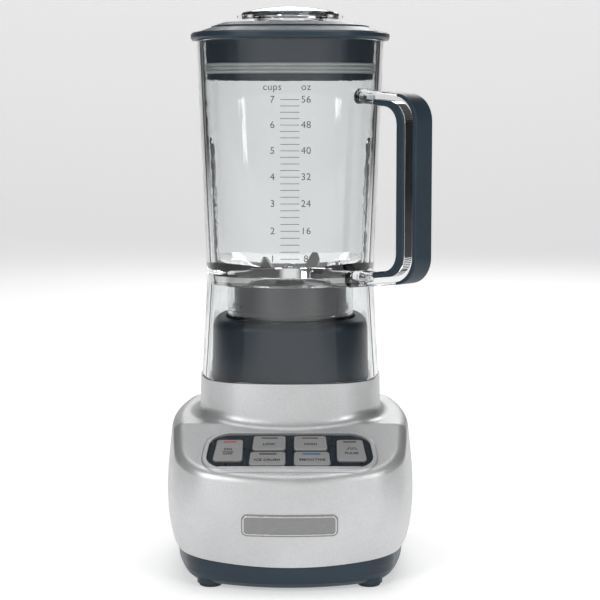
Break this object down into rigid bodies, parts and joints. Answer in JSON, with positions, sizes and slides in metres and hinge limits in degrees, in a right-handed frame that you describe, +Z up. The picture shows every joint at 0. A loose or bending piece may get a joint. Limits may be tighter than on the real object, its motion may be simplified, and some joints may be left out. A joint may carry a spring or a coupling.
{
  "type": "countertop blender",
  "caption": "Countertop blender: motor base with sloping press-button panel, clear squared jar with handle on a screw-on blade collar, lid and clear pour cap.",
  "frame": {"origin": "on the blade and motor axis at the worktop, level with the undersides of the feet", "axes": "+Z up along the blade axis, -Y towards the button panel at the front, +X to the user's right; the handle points between +X and -Y"},
  "size_m": [0.1872, 0.2292, 0.4055],
  "materials": {
    "badge_metal": "brushed",
    "bezel_plastic": "very dark slate, smooth",
    "black_rubber": "black, matt",
    "board": "green circuit board",
    "bronze": "sintered bronze",
    "carbon": "graphite",
    "cast_alloy": "die cast",
    "clear_plastic": "clear, polished",
    "collar_plastic": "charcoal, satin",
    "copper": "enamelled copper",
    "fan_plastic": "natural nylon",
    "key_plastic": "silver grey, satin",
    "lens_blue": "blue indicator window",
    "lens_dark": "unlit indicator window",
    "lens_red": "red indicator window",
    "seal_silicone": "light grey silicone",
    "silver_paint": "silver paint, satin",
    "slate_plastic": "dark slate, smooth",
    "steel": "bright",
    "switch_plastic": "black",
    "zinc_steel": "zinc plated"
  },
  "bodies": {
    "base": {"housing": "silver_paint", "base_pan": "slate_plastic", "pedestal": "slate_plastic", "panel_bezel": "bezel_plastic", "badge_plate": "badge_metal", "feet": "black_rubber", "base_screws": "zinc_steel", "inner_screws": "zinc_steel", "cord_grommet": "black_rubber", "control_board": "board", "button_switches": "switch_plastic", "power_board": "board", "stator_core": "steel", "field_coils": "copper", "motor_lower_frame": "cast_alloy", "motor_upper_frame": "cast_alloy", "motor_tie_bolts": "zinc_steel", "lower_bearing": "bronze", "upper_bearing": "bronze", "motor_isolators": "black_rubber", "brush_holders": "switch_plastic", "carbon_brushes": "carbon"},
    "motor_rotor": {"motor_shaft": "steel", "armature_core": "steel", "armature_windings": "copper", "commutator": "copper", "cooling_fan": "fan_plastic", "drive_coupling": "black_rubber", "slinger": "black_rubber"},
    "blade_mount": {"blade_carrier": "collar_plastic", "blade_bushing": "bronze", "shaft_seal": "black_rubber", "jar_gasket": "seal_silicone"},
    "collar": {"locking_collar": "collar_plastic"},
    "blade_rotor": {"blade_shaft": "steel", "blade_washer": "steel", "lower_blade": "steel", "upper_blade": "steel", "blade_nut": "steel", "jar_coupling": "collar_plastic"},
    "jar": {"jar": "clear_plastic", "handle_core": "clear_plastic", "grip_inner": "slate_plastic", "grip_outer": "slate_plastic"},
    "lid": {"lid_cover": "slate_plastic", "lid_seal": "seal_silicone"},
    "cap_ring": {"cap_ring": "seal_silicone"},
    "pour_cap": {"pour_cap": "clear_plastic"},
    "key_power": {"button_power": "key_plastic", "lens_power": "lens_red"},
    "key_low": {"button_low": "key_plastic", "lens_low": "lens_dark"},
    "key_ice": {"button_ice": "key_plastic", "lens_ice": "lens_dark"},
    "key_high": {"button_high": "key_plastic", "lens_high": "lens_dark"},
    "key_smoothie": {"button_smoothie": "key_plastic", "lens_smoothie": "lens_blue"},
    "key_pulse": {"button_pulse": "key_plastic", "lens_pulse": "lens_dark"}
  },
  "joints": [
    {"name": "motor_spin", "type": "hinge", "parent": "base", "child": "motor_rotor", "pos_m": [0, 0, 0.1], "axis": [0, 0, 1], "continuous": true},
    {"name": "jar_lift", "type": "slide", "parent": "base", "child": "blade_mount", "axis": [0, 0, 1], "range_m": [0, 0.09]},
    {"name": "blade_spin", "type": "hinge", "parent": "blade_mount", "child": "blade_rotor", "pos_m": [0, 0, 0.2], "axis": [0, 0, 1], "continuous": true},
    {"name": "jar_unscrew", "type": "slide", "parent": "blade_mount", "child": "jar", "axis": [0, 0, 1], "range_m": [0, 0.018]},
    {"name": "collar_turn", "type": "hinge", "parent": "blade_mount", "child": "collar", "pos_m": [0, 0, 0.18], "axis": [0, 0, 1], "range_deg": [-545, 0]},
    {"name": "lid_lift", "type": "slide", "parent": "jar", "child": "lid", "axis": [0, 0, 1], "range_m": [0, 0.06]},
    {"name": "cap_lift", "type": "slide", "parent": "lid", "child": "cap_ring", "axis": [0, 0, 1], "range_m": [0, 0.05]},
    {"name": "cap_twist", "type": "hinge", "parent": "cap_ring", "child": "pour_cap", "pos_m": [0, 0, 0.38], "axis": [0, 0, 1], "range_deg": [-40, 0]},
    {"name": "press_power", "type": "slide", "parent": "base", "child": "key_power", "axis": [0, 0.4226, -0.9063], "range_m": [0, 0.001], "stiffness_N_per_m": 800, "springref_m": -0.001},
    {"name": "press_low", "type": "slide", "parent": "base", "child": "key_low", "axis": [0, 0.4226, -0.9063], "range_m": [0, 0.001], "stiffness_N_per_m": 800, "springref_m": -0.001},
    {"name": "press_ice", "type": "slide", "parent": "base", "child": "key_ice", "axis": [0, 0.4226, -0.9063], "range_m": [0, 0.001], "stiffness_N_per_m": 800, "springref_m": -0.001},
    {"name": "press_high", "type": "slide", "parent": "base", "child": "key_high", "axis": [0, 0.4226, -0.9063], "range_m": [0, 0.001], "stiffness_N_per_m": 800, "springref_m": -0.001},
    {"name": "press_smoothie", "type": "slide", "parent": "base", "child": "key_smoothie", "axis": [0, 0.4226, -0.9063], "range_m": [0, 0.001], "stiffness_N_per_m": 800, "springref_m": -0.001},
    {"name": "press_pulse", "type": "slide", "parent": "base", "child": "key_pulse", "axis": [0, 0.4226, -0.9063], "range_m": [0, 0.001], "stiffness_N_per_m": 800, "springref_m": -0.001}
  ],
  "couplings": [
    {"joint": "blade_spin", "follows": "motor_spin", "ratio": 1},
    {"joint": "collar_turn", "follows": "jar_unscrew", "rad_per_m": -523.6}
  ]
}
